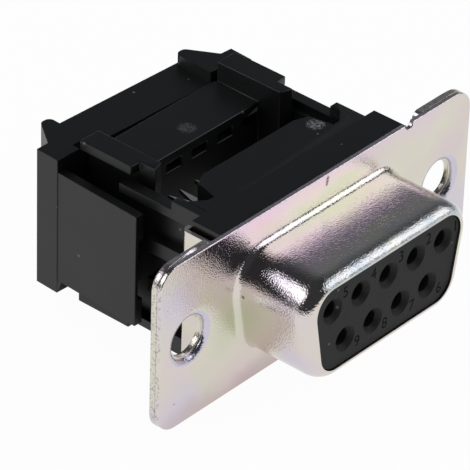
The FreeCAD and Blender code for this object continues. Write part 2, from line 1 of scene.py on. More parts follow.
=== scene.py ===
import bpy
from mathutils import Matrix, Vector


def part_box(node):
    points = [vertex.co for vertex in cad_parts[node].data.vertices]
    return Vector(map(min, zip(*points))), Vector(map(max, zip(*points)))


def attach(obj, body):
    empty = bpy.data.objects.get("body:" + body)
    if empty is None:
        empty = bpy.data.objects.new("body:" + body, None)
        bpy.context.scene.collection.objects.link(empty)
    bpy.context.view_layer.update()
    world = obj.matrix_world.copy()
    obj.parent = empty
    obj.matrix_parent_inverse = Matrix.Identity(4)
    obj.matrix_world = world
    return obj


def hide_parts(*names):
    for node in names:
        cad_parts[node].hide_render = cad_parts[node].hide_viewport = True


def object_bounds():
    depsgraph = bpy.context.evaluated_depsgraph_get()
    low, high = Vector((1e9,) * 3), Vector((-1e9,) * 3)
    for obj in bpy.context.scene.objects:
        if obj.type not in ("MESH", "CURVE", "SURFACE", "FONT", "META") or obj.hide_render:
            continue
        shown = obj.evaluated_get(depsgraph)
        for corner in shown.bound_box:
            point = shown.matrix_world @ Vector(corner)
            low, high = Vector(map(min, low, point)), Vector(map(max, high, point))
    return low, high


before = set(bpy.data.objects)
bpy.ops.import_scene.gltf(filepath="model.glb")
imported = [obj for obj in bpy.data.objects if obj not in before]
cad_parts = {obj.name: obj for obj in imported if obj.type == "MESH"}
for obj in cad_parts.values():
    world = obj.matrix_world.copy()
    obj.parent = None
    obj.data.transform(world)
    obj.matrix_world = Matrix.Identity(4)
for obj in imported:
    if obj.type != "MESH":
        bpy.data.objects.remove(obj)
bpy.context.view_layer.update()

import math

import bmesh
import bpy
import numpy as np
from mathutils import Matrix, Vector, geometry

MM = 0.001

# Camera: a long lens from the front left and above. Its angles, distance and aim follow from the
# standard sizes of the shell and the spacing of its holes.
VIEW_AZIMUTH = math.radians(-49.685)
VIEW_ELEVATION = math.radians(34.076)
VIEW_ROLL = math.radians(1.874)
VIEW_DISTANCE = 281.147 * MM
AIM_RIGHT = -5.423 * MM
AIM_UP = 1.508 * MM
NEAREST_SEEN = 10 * MM
FRAME_PIXELS = 470
FOCAL_PIXELS = 4314.53
SENSOR_WIDTH = 36.0


def view_axes(azimuth, elevation, roll):
    """Right, up and back vectors of a camera that looks at the origin. Back points from the origin to the
    camera, round by the azimuth and up by the elevation; the other two are turned about it by the roll."""
    back = Vector((math.sin(azimuth) * math.cos(elevation),
                   -math.cos(azimuth) * math.cos(elevation),
                   math.sin(elevation)))
    level = Vector((math.cos(azimuth), math.sin(azimuth), 0))
    upright = back.cross(level)
    right = level * math.cos(roll) + upright * math.sin(roll)
    up = upright * math.cos(roll) - level * math.sin(roll)
    return right, up, back


right, up, back = view_axes(VIEW_AZIMUTH, VIEW_ELEVATION, VIEW_ROLL)
camera_data = bpy.data.cameras.new("camera")
camera_data.sensor_width = SENSOR_WIDTH
camera_data.lens = SENSOR_WIDTH * FOCAL_PIXELS / FRAME_PIXELS
camera_data.clip_start = NEAREST_SEEN
camera = bpy.data.objects.new("camera", camera_data)
camera_turn = Matrix((right, up, back)).transposed().to_4x4()
camera_place = Matrix.Translation(right * AIM_RIGHT + up * AIM_UP + back * VIEW_DISTANCE)
camera.matrix_world = camera_place @ camera_turn
bpy.context.scene.collection.objects.link(camera)
bpy.context.scene.camera = camera
bpy.context.scene.view_settings.view_transform = "Standard"


# Floor: a wide white table just under the connector. It shows white in the picture and nearly so in
# the metal, and takes soft shadows.
FLOOR_SIZE = 4.0
FLOOR_GAP = 0.002 * MM
FLOOR_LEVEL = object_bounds()[0][2] - FLOOR_GAP
FLOOR_GLOW = 0.96
FLOOR_MIRROR = 0.78
FLOOR_WHITE = (1, 1, 1, 1)
FLOOR_MATTE = (0.8, 0.8, 0.8, 1)


def wire(tree, source, target):
    """Link an output socket to an input socket."""
    tree.links.new(source, target)


def new_material(name):
    """An empty node material with its output node."""
    material = bpy.data.materials.new(name)
    material.use_nodes = True
    material.node_tree.nodes.clear()
    output = material.node_tree.nodes.new("ShaderNodeOutputMaterial")
    return material, material.node_tree, output


def add_math(tree, operation, first, second):
    """One step of arithmetic on a socket and a second socket or number."""
    step = tree.nodes.new("ShaderNodeMath")
    step.operation = operation
    wire(tree, first, step.inputs[0])
    if isinstance(second, float):
        step.inputs[1].default_value = second
    else:
        wire(tree, second, step.inputs[1])
    return step.outputs[0]


def add_mix_shader(tree, share, first, second):
    """Blend from one shader to another by a share."""
    mix = tree.nodes.new("ShaderNodeMixShader")
    for source, target in zip((share, first, second), mix.inputs):
        wire(tree, source, target)
    return mix.outputs[0]


def make_floor_material():
    """A glow for the camera and, weaker, for reflections; a matte pale surface for all other rays."""
    material, tree, output = new_material("white_table")
    path = tree.nodes.new("ShaderNodeLightPath")
    in_view = add_math(tree, "MULTIPLY", path.outputs["Is Camera Ray"], FLOOR_GLOW)
    in_metal = add_math(tree, "MULTIPLY", path.outputs["Is Glossy Ray"], FLOOR_MIRROR)
    glow = tree.nodes.new("ShaderNodeEmission")
    glow.inputs["Color"].default_value = FLOOR_WHITE
    matte = tree.nodes.new("ShaderNodeBsdfDiffuse")
    matte.inputs["Color"].default_value = FLOOR_MATTE
    share = add_math(tree, "MAXIMUM", in_view, in_metal)
    both = add_mix_shader(tree, share, matte.outputs[0], glow.outputs[0])
    wire(tree, both, output.inputs["Surface"])
    return material


floor_mesh = bpy.data.meshes.new("floor")
half = FLOOR_SIZE / 2
corners = [(-half, -half), (half, -half), (half, half), (-half, half)]
floor_mesh.from_pydata([(x, y, FLOOR_LEVEL) for x, y in corners], [], [(0, 1, 2, 3)])
floor = bpy.data.objects.new("floor", floor_mesh)
floor_mesh.materials.append(make_floor_material())
bpy.context.scene.collection.objects.link(floor)


# Room and lamps: an even light from all round, whose walls look dark in the metal and brighter on
# one side, a broad softbox at the front right and a weaker lamp at the rear left.
ROOM_LIGHT = 0.7
ROOM_SEEN = 1.0
ROOM_DIM = 0.042
ROOM_BRIGHT = 0.17
ROOM_TINT = (0.93, 0.99, 1.1, 1)
BRIGHT_SIDE = (0.76, 0.65, 0)
BRIGHT_SIDE_START = 0.45
BRIGHT_SIDE_FULL = 0.83


def add_vector_math(tree, operation, first, second=None):
    """A step of vector arithmetic on a socket and a second socket or three numbers. A distance or a dot
    product comes out as a value, and all else as a vector."""
    step = tree.nodes.new("ShaderNodeVectorMath")
    step.operation = operation
    wire(tree, first, step.inputs[0])
    if isinstance(second, tuple):
        step.inputs[1].default_value = second
    elif second is not None:
        wire(tree, second, step.inputs[1])
    return step.outputs["Value" if operation in ("DISTANCE", "DOT_PRODUCT") else "Vector"]


def add_fade(tree, source, start, end, lowest=0.0, highest=1.0, easing="LINEAR"):
    """A value that runs from lowest at the start to highest at the end, and is held beyond both."""
    fade = tree.nodes.new("ShaderNodeMapRange")
    fade.interpolation_type = easing
    fade.inputs["From Min"].default_value = start
    fade.inputs["From Max"].default_value = end
    fade.inputs["To Min"].default_value = lowest
    fade.inputs["To Max"].default_value = highest
    wire(tree, source, fade.inputs["Value"])
    return fade.outputs[0]


def make_room():
    """A world with its own light for each kind of ray: even for shading, walls that brighten towards one
    side for reflections, and plain and pale for the camera."""
    world = bpy.data.worlds.new("room")
    world.use_nodes = True
    tree = world.node_tree
    tree.nodes.clear()
    output = tree.nodes.new("ShaderNodeOutputWorld")
    path = tree.nodes.new("ShaderNodeLightPath")
    even = tree.nodes.new("ShaderNodeBackground")
    even.inputs["Strength"].default_value = ROOM_LIGHT
    pale = tree.nodes.new("ShaderNodeBackground")
    pale.inputs["Strength"].default_value = ROOM_SEEN
    walls = tree.nodes.new("ShaderNodeBackground")
    walls.inputs["Color"].default_value = ROOM_TINT
    direction = tree.nodes.new("ShaderNodeTexCoord").outputs["Generated"]
    sideways = add_vector_math(tree, "DOT_PRODUCT", direction, BRIGHT_SIDE)
    wall = add_fade(tree, sideways, BRIGHT_SIDE_START, BRIGHT_SIDE_FULL, ROOM_DIM, ROOM_BRIGHT)
    wire(tree, wall, walls.inputs["Strength"])
    lit = add_mix_shader(tree, path.outputs["Is Glossy Ray"], even.outputs[0], walls.outputs[0])
    seen = add_mix_shader(tree, path.outputs["Is Camera Ray"], lit, pale.outputs[0])
    wire(tree, seen, output.inputs["Surface"])
    return world


bpy.context.scene.world = make_room()
LAMP_TINT = (0.97, 0.985, 1.06)


def add_lamp(name, direction, distance, width, power):
    """A square soft lamp that looks at the connector from a direction."""
    lamp_data = bpy.data.lights.new(name, "AREA")
    lamp_data.shape = "SQUARE"
    lamp_data.size = width
    lamp_data.energy = power
    lamp_data.color = LAMP_TINT
    lamp = bpy.data.objects.new(name, lamp_data)
    toward = Vector(direction).normalized()
    lamp.location = toward * distance
    lamp.rotation_euler = toward.to_track_quat("Z", "Y").to_euler()
    bpy.context.scene.collection.objects.link(lamp)


add_lamp("front_right_softbox", direction=(0.63, -0.56, 0.56), distance=0.7, width=0.6, power=1.7)
add_lamp("rear_left_lamp", direction=(-0.63, 0.54, 0.54), distance=0.6, width=0.4, power=0.95)


# Front shell: one sheet of zinc-plated steel, drawn into a flange with two bell-mouthed holes and a
# D-shaped nose with a rounded tip. The plating is iridescent: cream that drifts to lilac, pink and
# yellow-green. The nose holds the contact insulator.
FLANGE_LOW, FLANGE_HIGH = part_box("front_shell")
SHEET = FLANGE_HIGH.y
FLANGE_HALF_WIDTH = FLANGE_HIGH.x
FLANGE_HALF_HEIGHT = FLANGE_HIGH.z
FLANGE_CORNER = 1.6 * MM
NOSE_DEPTH = -FLANGE_LOW.y
NOSE_HALF_WIDTH = 16.33 / 2 * MM
NOSE_HALF_HEIGHT = 3.95 * MM
NOSE_CORNER = 2.6 * MM
NOSE_LEAN = math.radians(10)
# Half the D's width at mid height, worked back from its widest place at the upper corners.
NOSE_MIDDLE = (NOSE_HALF_WIDTH - (NOSE_HALF_HEIGHT - NOSE_CORNER) * math.tan(NOSE_LEAN)
               - NOSE_CORNER * (1 - 1 / math.cos(NOSE_LEAN)))
LIP_SIDE = 1.0 * MM
LIP_TOP = 0.7 * MM
LIP_THICKNESS = 1.2 * SHEET
LIP_BACK = 2 * SHEET
MOUTH_CORNER = 1.6 * MM
TIP_ROUND = 1.15 * MM
BASE_ROUND = 0.5 * MM
HOLE_SPACING = 24.99 * MM
HOLE_RADIUS = 1.59 * MM
HOLE_RIM = 0.44 * MM
HOLE_RIM_DEPTH = 0.8 * SHEET
HOLE_RIM_START = math.radians(32)
EDGE_ROUND = 0.07 * MM
NOTCH_PLACE = 8.9 * MM
NOTCH_RADIUS = 0.42 * MM

# The plating's finish: soft patches of tint, streaks left by the drawing, and a fine grain that frays
# the edges of its reflections. Scales are per metre.
PLATING_STOPS = [
    (0.28, (0.68, 0.62, 0.70)),
    (0.42, (0.73, 0.66, 0.64)),
    (0.54, (0.72, 0.69, 0.58)),
    (0.72, (0.70, 0.62, 0.61)),
]
PATCH_DETAIL = 3
SPECKLE_DETAIL = 1
GRAIN_SCALE = 9500
GRAIN_DEPTH = 0.02 * MM
STREAK_SCALE = 3000
STREAK_DETAIL = 2
STREAK_DEPTH = 0.003 * MM
ALONG_SHEET = (0.08, 1, 1)
WARP_SCALE = 330
WARP_DETAIL = 2
WARP_REACH = 2.4 * MM
NOISE_MIDDLE = 0.5
STAIN_STRENGTH = 0.9


def make_mottle_group():
    """A group that gives soft patches and fine speckle: two noises over the piece, each from 0 to 1."""
    group = bpy.data.node_groups.new("mottle", "ShaderNodeTree")
    details = {"Patch": PATCH_DETAIL, "Speckle": SPECKLE_DETAIL}
    for label in details:
        group.interface.new_socket(f"{label} Scale", in_out="INPUT", socket_type="NodeSocketFloat")
        group.interface.new_socket(label, in_out="OUTPUT", socket_type="NodeSocketFloat")
    given = group.nodes.new("NodeGroupInput")
    result = group.nodes.new("NodeGroupOutput")
    place = group.nodes.new("ShaderNodeTexCoord").outputs["Object"]
    for label, detail in details.items():
        noise = group.nodes.new("ShaderNodeTexNoise")
        noise.inputs["Detail"].default_value = detail
        wire(group, place, noise.inputs["Vector"])
        wire(group, given.outputs[f"{label} Scale"], noise.inputs["Scale"])
        wire(group, noise.outputs["Fac"], result.inputs[label])
    return group


MOTTLE = make_mottle_group()


def add_mottle(tree, patch_scale, speckle_scale):
    """Place the mottle group in a material with its own scales."""
    node = tree.nodes.new("ShaderNodeGroup")
    node.node_tree = MOTTLE
    node.inputs["Patch Scale"].default_value = patch_scale
    node.inputs["Speckle Scale"].default_value = speckle_scale
    return node


def add_noise(tree, vector, scale, detail):
    """A noise texture over a vector."""
    noise = tree.nodes.new("ShaderNodeTexNoise")
    noise.inputs["Scale"].default_value = scale
    noise.inputs["Detail"].default_value = detail
    wire(tree, vector, noise.inputs["Vector"])
    return noise


def add_ramp(tree, source, stops):
    """A colour ramp over a value, from (place, colour) stops."""
    ramp = tree.nodes.new("ShaderNodeValToRGB")
    elements = ramp.color_ramp.elements
    while len(elements) < len(stops):
        elements.new(0.5)
    for element, (where, colour) in zip(elements, stops):
        element.position = where
        element.color = (*colour, 1)
    wire(tree, source, ramp.inputs["Fac"])
    return ramp.outputs["Color"]


def add_bump(tree, height, strength, depth):
    """A bump node over a height, with its depth in metres."""
    bump = tree.nodes.new("ShaderNodeBump")
    bump.inputs["Strength"].default_value = strength
    bump.inputs["Distance"].default_value = depth
    wire(tree, height, bump.inputs["Height"])
    return bump


def add_mix_colour(tree, share, first, second):
    """Blend from one colour to another by a share; a colour is a socket or three numbers."""
    blend = tree.nodes.new("ShaderNodeMix")
    blend.data_type = "RGBA"
    wire(tree, share, blend.inputs["Factor"])
    ends = [socket for socket in blend.inputs if socket.type == "RGBA"]
    for socket, colour in zip(ends, (first, second)):
        if isinstance(colour, tuple):
            socket.default_value = (*colour, 1)
        else:
            wire(tree, colour, socket)
    return next(socket for socket in blend.outputs if socket.type == "RGBA")


def add_warped_place(tree):
    """Object coordinates pushed about by a soft noise, so that stains get uneven edges."""
    place = tree.nodes.new("ShaderNodeTexCoord").outputs["Object"]
    noise = add_noise(tree, place, WARP_SCALE, WARP_DETAIL)
    centred = add_vector_math(tree, "SUBTRACT", noise.outputs["Color"], (NOISE_MIDDLE,) * 3)
    push = add_vector_math(tree, "MULTIPLY", centred, (WARP_REACH,) * 3)
    return add_vector_math(tree, "ADD", place, push)


def add_closeness(tree, place, centre, reach, core=0.0, lowest=0.0, highest=STAIN_STRENGTH):
    """How close a place is to a centre: highest within the core, falling smoothly to lowest at the
    reach."""
    away = add_vector_math(tree, "DISTANCE", place, centre)
    return add_fade(tree, away, reach, core, lowest, highest, "SMOOTHSTEP")


# Tints of the plating, and where the shell shows each: centre and reach are in millimetres. Some are
# painted reflection and one band is painted shade, as marked below. Blooms are round, bands run along
# the sheet, and scuffs are small dark marks.
LILAC = (0.68, 0.63, 0.72)
RIM_REFLECTION_VIOLET = (0.61, 0.58, 0.70)
ROSE = (0.73, 0.61, 0.68)
PINK = (0.74, 0.62, 0.62)
PAINTED_BOTTOM_SHADE_PINK = (0.53, 0.41, 0.42)
YELLOW = (0.73, 0.69, 0.58)
OLIVE_AND_FLANGE_REFLECTION = (0.63, 0.64, 0.50)
PALE_GREEN = (0.61, 0.66, 0.52)
TIP_PAINTED_REFLECTION_BLUE = (0.52, 0.57, 0.60)
PIT_GREY = (0.43, 0.44, 0.44)
SCUFF_BLACK = (0.03, 0.03, 0.035)


def spot(x, y, z, reach):
    """A centre and a reach in metres, from millimetres."""
    return (x * MM, y * MM, z * MM), reach * MM


SHELL_BLOOMS = [
    (*spot(-14.2, 0, 3.2, reach=3.2), LILAC),
    # Olive by the D's left base: the plating's own tint and a painted reflection of the flange in the D's
    # wall.
    (*spot(-8.8, 0, -0.8, reach=3.0), OLIVE_AND_FLANGE_REFLECTION),
    (*spot(-7.5, 0, -5.6, reach=4.0), PINK),
    (*spot(-13.6, 0, -5.0, reach=3.0), LILAC),
    (*spot(-6.0, 0, 5.4, reach=2.4), PINK),
    (*spot(0.5, 0, 5.0, reach=3.4), YELLOW),
    (*spot(4.6, 0, 5.3, reach=2.0), PINK),
    (*spot(0.5, -1.5, 3.9, reach=2.6), YELLOW),
    (*spot(-3.6, -1.5, 3.9, reach=2.2), PINK),
    (*spot(14.6, 0, -2.5, reach=3.0), LILAC),
    (*spot(-7.6, -4.5, -2.5, reach=2.6), LILAC),
]
SHELL_BANDS = [
    (*spot(0, 0, 6.4, reach=1.9), ROSE),
    (*spot(0, 0, 5.0, reach=0.8), PALE_GREEN),
    (*spot(0, -2.9, 3.9, reach=1.7), ROSE),
    # Painted shade: the flange grows darker, dusky pink, towards its bottom edge.
    (*spot(0, 0, -6.3, reach=2.2), PAINTED_BOTTOM_SHADE_PINK),
]
SHELL_SCUFFS = [
    spot(0.61, 0, 5.95, reach=0.25),
    spot(0.57, 0, 5.7, reach=0.24),
    spot(0.54, 0, 5.5, reach=0.18),
    spot(-7.05, 0, 4.67, reach=0.18),
    spot(-8.16, -0.6, 1.3, reach=0.2),
    spot(-13.9, 0, -4.4, reach=0.1),
]

# Round the nose's tip a bluish tint is painted into the plating: a painted reflection that dulls the
# highlight there. Its grain is coarser too, as it is on the left ear.
TIP_SPOT_COUNT = 6
TIP_SPOT_FIRST = -5.4
TIP_SPOT_STEP = 2.4
TIP_ROW = [TIP_SPOT_FIRST + TIP_SPOT_STEP * index for index in range(TIP_SPOT_COUNT)]
TIP_REFLECTION_AND_GRAIN_SPOTS = [spot(x, -5.9, 3.3, reach=2.0) for x in TIP_ROW]
SHELL_BLOOMS += [(*tip_spot, TIP_PAINTED_REFLECTION_BLUE) for tip_spot in TIP_REFLECTION_AND_GRAIN_SPOTS]
SHELL_COARSE_SPOTS = [spot(-10.3, 0, 3.9, reach=2.9)] + TIP_REFLECTION_AND_GRAIN_SPOTS
COARSE_GAIN = 1.9

# A violet ring is painted round each hole, a painted reflection on its bell-mouthed rim, and the
# flange's cut edges are pitted.
RING_CORE = 1.9 * MM
RING_REACH = 2.06 * MM
RING_DEPTH = 0.3 * MM
SHELL_RIM_REFLECTIONS = [(side * HOLE_SPACING / 2, RING_DEPTH, 0) for side in (-1, 1)]
CUT_EDGE_WIDTH = 0.065 * MM
CUT_EDGE_FADE = 0.02 * MM
PIT_SCALE = 4600
PIT_DETAIL = 2
PIT_START = 0.52
PIT_FULL = 0.64


def add_edge_pits(tree, place):
    """A mask of small pits that shows only on cut edges: where the place's distance from the middle, in
    width or in height, is past the flange's flat face."""
    flat_face = (FLANGE_HALF_WIDTH - CUT_EDGE_WIDTH, 0, FLANGE_HALF_HEIGHT - CUT_EDGE_WIDTH)
    beyond = add_vector_math(tree, "SUBTRACT", add_vector_math(tree, "ABSOLUTE", place), flat_face)
    parts = tree.nodes.new("ShaderNodeSeparateXYZ")
    wire(tree, beyond, parts.inputs[0])
    most = add_math(tree, "MAXIMUM", parts.outputs["X"], parts.outputs["Z"])
    edge = add_fade(tree, most, 0.0, CUT_EDGE_FADE)
    noise = add_noise(tree, place, PIT_SCALE, PIT_DETAIL)
    pits = add_fade(tree, noise.outputs["Fac"], PIT_START, PIT_FULL)
    return add_math(tree, "MULTIPLY", edge, pits)


def make_plating(name, patch_scale, roughness, blooms=(), bands=(), scuffs=(), rings=(), coarse_spots=()):
    """Metal whose tint drifts in patches, blooms and long bands, some of them painted reflection and
    painted shade, with small dark scuffs, rings of painted reflection round the holes and pitted cut edges.
    Its normals carry streaks and a fine grain, deeper in the coarse spots."""
    material, tree, output = new_material(name)
    metal = tree.nodes.new("ShaderNodeBsdfPrincipled")
    metal.inputs["Metallic"].default_value = 1.0
    metal.inputs["Roughness"].default_value = roughness
    mottle = add_mottle(tree, patch_scale, GRAIN_SCALE)
    warped = add_warped_place(tree)
    along = add_vector_math(tree, "MULTIPLY", warped, ALONG_SHEET)
    exact = tree.nodes.new("ShaderNodeTexCoord").outputs["Object"]
    colour = add_ramp(tree, mottle.outputs["Patch"], PLATING_STOPS)
    for place, stains in ((warped, blooms), (along, bands)):
        for centre, reach, tint in stains:
            colour = add_mix_colour(tree, add_closeness(tree, place, centre, reach), colour, tint)
    for centre, reach in scuffs:
        colour = add_mix_colour(tree, add_closeness(tree, exact, centre, reach), colour, SCUFF_BLACK)
    # Painted reflection: a violet ring over each hole's bell-mouthed rim.
    for centre in rings:
        ring = add_closeness(tree, exact, centre, RING_REACH, RING_CORE)
        colour = add_mix_colour(tree, ring, colour, RIM_REFLECTION_VIOLET)
    colour = add_mix_colour(tree, add_edge_pits(tree, exact), colour, PIT_GREY)
    streak = add_noise(tree, along, STREAK_SCALE, STREAK_DETAIL)
    drawn = add_bump(tree, streak.outputs["Fac"], 1.0, STREAK_DEPTH)
    height = mottle.outputs["Speckle"]
    for centre, reach in coarse_spots:
        gain = add_closeness(tree, warped, centre, reach, lowest=1.0, highest=COARSE_GAIN)
        height = add_math(tree, "MULTIPLY", height, gain)
    grain = add_bump(tree, height, 1.0, GRAIN_DEPTH)
    wire(tree, drawn.outputs["Normal"], grain.inputs["Normal"])
    wire(tree, colour, metal.inputs["Base Color"])
    wire(tree, grain.outputs["Normal"], metal.inputs["Normal"])
    wire(tree, metal.outputs[0], output.inputs["Surface"])
    return material


SHELL_PLATING = make_plating("shell_plating", patch_scale=120, roughness=0.04, blooms=SHELL_BLOOMS,
                             bands=SHELL_BANDS, scuffs=SHELL_SCUFFS, rings=SHELL_RIM_REFLECTIONS,
                             coarse_spots=SHELL_COARSE_SPOTS)

# The shell's form, as rings of points laid one behind the other.
D_ARC_STEPS = 16
D_LINE_STEPS = 24
CIRCLE_STEPS = 64
CORNER_STEPS = 10
BASE_STEPS = 8
WALL_STEPS = 11
TIP_STEPS = 12
EDGE_STEPS = 6
RIM_STEPS = 8
SEAM = 0.0001 * MM
SHELL_SHARP = math.radians(18)


def d_loop(middle, half_height, radius):
    """Points and outward normals round a D: four arcs whose sides lean by the nose's angle, joined by
    straight lines cut into equal steps. Returns two arrays of one row per point, as (x, z)."""
    drop = half_height - radius
    lean = drop * math.tan(NOSE_LEAN)
    inward = radius / math.cos(NOSE_LEAN)
    top = middle + lean - inward
    low = middle - lean - inward
    centres = np.array([(top, drop), (-top, drop), (-low, -drop), (low, -drop)])
    starts = np.array([-NOSE_LEAN, math.pi / 2, math.pi + NOSE_LEAN, 1.5 * math.pi])
    ends = np.array([math.pi / 2, math.pi + NOSE_LEAN, 1.5 * math.pi, 2 * math.pi - NOSE_LEAN])
    points, normals = [], []
    for index in range(4):
        angle = np.linspace(starts[index], ends[index], D_ARC_STEPS + 1)
        normal = np.stack([np.cos(angle), np.sin(angle)], axis=1)
        arc = centres[index] + radius * normal
        after = (index + 1) % 4
        first = centres[after] + radius * np.array([math.cos(starts[after]), math.sin(starts[after])])
        share = np.linspace(0, 1, D_LINE_STEPS + 1)[1:-1, None]
        points += [arc, arc[-1] * (1 - share) + first * share]
        normals += [normal, np.repeat(normal[-1:], D_LINE_STEPS - 1, axis=0)]
    return np.concatenate(points), np.concatenate(normals)


def circle_loop(centre_x, radius):
    """A circle about a point on the X axis, as (x, z) rows."""
    angle = np.linspace(0, 2 * math.pi, CIRCLE_STEPS, endpoint=False)
    return np.stack([centre_x + radius * np.cos(angle), radius * np.sin(angle)], axis=1)


def flange_loop(inset):
    """The flange's outline moved in by the inset: four corner arcs, and the half-round notch in its top
    edge, whose radius grows by the inset."""
    width = FLANGE_HALF_WIDTH - FLANGE_CORNER
    height = FLANGE_HALF_HEIGHT - FLANGE_CORNER
    centres = [(width, height), (-width, height), (-width, -height), (width, -height)]
    rows = []
    for index, (x, z) in enumerate(centres):
        angle = np.linspace(index, index + 1, CORNER_STEPS + 1) * math.pi / 2
        rows.append(np.stack([x + (FLANGE_CORNER - inset) * np.cos(angle),
                              z + (FLANGE_CORNER - inset) * np.sin(angle)], axis=1))
        if index == 0:
            angle = np.linspace(0, -math.pi, CORNER_STEPS + 1)
            rows.append(np.stack([NOTCH_PLACE + (NOTCH_RADIUS + inset) * np.cos(angle),
                                  FLANGE_HALF_HEIGHT - inset + NOTCH_RADIUS * np.sin(angle)], axis=1))
    return np.concatenate(rows)


def quarter_round(steps, start=0.0):
    """Shares across and along a quarter circle. A start angle above zero leaves out its first, flattest
    part, and both shares still run from nought to one."""
    angle = np.linspace(start, math.pi / 2, steps + 1)
    across = 1 - np.cos(angle) / math.cos(start)
    along = (np.sin(angle) - math.sin(start)) / (1 - math.sin(start))
    return across, along


def lay_rings(loops, depths):
    """Vertices of a tube of loops, each loop at its own depth along Y, and its quad faces."""
    rows, count = len(loops), len(loops[0])
    loops = np.asarray(loops)
    depths = np.broadcast_to(np.asarray(depths).reshape(rows, -1), (rows, count))
    vertices = np.stack([loops[:, :, 0], depths, loops[:, :, 1]], axis=2).reshape(-1, 3)
    row, column = np.meshgrid(np.arange(rows - 1), np.arange(count), indexing="ij")
    after = (column + 1) % count
    quads = np.stack([row * count + column, row * count + after, (row + 1) * count + after,
                      (row + 1) * count + column], axis=2).reshape(-1, 4)
    return vertices, quads


def fill_between(loops, depth):
    """Vertices and triangles of a flat face at one depth, inside the first loop and outside the others."""
    vertices = np.concatenate([np.column_stack([loop[:, 0], np.full(len(loop), depth), loop[:, 1]])
                               for loop in loops])
    flat = [[Vector((x, z, 0)) for x, z in loop] for loop in loops]
    return vertices, np.array(geometry.tessellate_polygon(flat))


def make_nose():
    """Rings from the base fillet over the straight wall, round the tip, in at the lip and back along the
    inner wall. Each ring is the D outline moved along its normals; round the tip it slides to the
    mouth."""
    outline, normals = d_loop(NOSE_MIDDLE, NOSE_HALF_HEIGHT, NOSE_CORNER)
    mouth, _ = d_loop(NOSE_MIDDLE - LIP_SIDE / math.cos(NOSE_LEAN), NOSE_HALF_HEIGHT - LIP_TOP,
                      MOUTH_CORNER)
    across, along = quarter_round(BASE_STEPS)
    loops = [outline + normals * BASE_ROUND * (1 - rise) for rise in along]
    depths = [-BASE_ROUND * share for share in across]
    for depth in np.linspace(-BASE_ROUND, TIP_ROUND - NOSE_DEPTH, WALL_STEPS + 1)[1:]:
        loops.append(outline)
        depths.append(depth)
    across, along = quarter_round(TIP_STEPS)
    for share, rise in zip(across[1:], along[1:]):
        loops.append(outline * (1 - share) + mouth * share)
        depths.append(TIP_ROUND - NOSE_DEPTH - TIP_ROUND * rise)
    loops += [mouth, outline - normals * SHEET, outline - normals * SHEET]
    depths += [LIP_THICKNESS - NOSE_DEPTH, LIP_BACK - NOSE_DEPTH, SHEET]
    return loops, depths


def join_mesh(name, pieces):
    """One mesh from several vertex and face arrays, its seams merged and its faces turned outward."""
    vertices, faces, start = [], [], 0
    for points, polygons in pieces:
        vertices.append(points)
        faces += (polygons + start).tolist()
        start += len(points)
    mesh = bpy.data.meshes.new(name)
    mesh.from_pydata(np.concatenate(vertices).tolist(), [], faces)
    work = bmesh.new()
    work.from_mesh(mesh)
    bmesh.ops.remove_doubles(work, verts=work.verts, dist=SEAM)
    bmesh.ops.recalc_face_normals(work, faces=work.faces)
    work.to_mesh(mesh)
    work.free()
    return mesh


def make_front_shell():
    """Nose, flat faces, bell-mouthed holes and rounded outer edge, joined into one closed skin."""
    nose_loops, nose_depths = make_nose()
    pieces = [lay_rings(nose_loops, nose_depths)]
    across, along = quarter_round(EDGE_STEPS)
    edge = [flange_loop(EDGE_ROUND * (1 - rise)) for rise in along]
    edge_depths = list(EDGE_ROUND * across)
    edge += [flange_loop(EDGE_ROUND * share) for share in across]
    edge_depths += list(SHEET - EDGE_ROUND + EDGE_ROUND * along)
    pieces.append(lay_rings(edge, edge_depths))
    rims = []
    across, along = quarter_round(RIM_STEPS, HOLE_RIM_START)
    for side in (-1, 1):
        centre = side * HOLE_SPACING / 2
        rings = [circle_loop(centre, HOLE_RADIUS + HOLE_RIM * (1 - rise)) for rise in along]
        depths = list(HOLE_RIM_DEPTH * across)
        rings.append(circle_loop(centre, HOLE_RADIUS))
        depths.append(SHEET)
        pieces.append(lay_rings(rings, depths))
        rims.append((rings[0], rings[-1]))
    pieces.append(fill_between([edge[0], nose_loops[0], rims[0][0], rims[1][0]], 0))
    pieces.append(fill_between([edge[-1], nose_loops[-1], rims[0][1], rims[1][1]], SHEET))
    return join_mesh("front_shell_skin", pieces)


def add_piece(name, mesh, body, material, sharp):
    """Put a mesh in the scene as a smooth-shaded piece that rides on a body. Its normals are weighted by
    face area, so that flat faces stay flat beside their rounded edges."""
    mesh.shade_smooth()
    mesh.set_sharp_from_angle(angle=sharp)
    mesh.materials.clear()
    mesh.materials.append(material)
    piece = bpy.data.objects.new(name, mesh)
    bpy.context.scene.collection.objects.link(piece)
    weighted = piece.modifiers.new("flat_faces", "WEIGHTED_NORMAL")
    weighted.keep_sharp = True
    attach(piece, body)
    return piece


front_shell = add_piece("front_shell_skin", make_front_shell(), "connector", SHELL_PLATING,
                        SHELL_SHARP)
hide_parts("front_shell")


# Rear brackets: bent from plated sheet, one behind each ear, with slightly rounded cut edges. Their
# plating is duller than the shell's.
BRACKET_ROUND = 0.05 * MM
CAD_SEAM = 0.001 * MM
FLAT_ANGLE = math.radians(1)
ROUNDED_ANGLE = math.radians(30)
ROUNDED_SHARP = math.radians(40)
ROOM_PER_RADIUS = 2.4
ROUND_PROFILE = 0.5


def has_room(edge, radius):
    """Whether every edge that meets this one is long enough for both to be rounded."""
    return all(other.calc_length() > ROOM_PER_RADIUS * radius
               for vertex in edge.verts for other in vertex.link_edges)


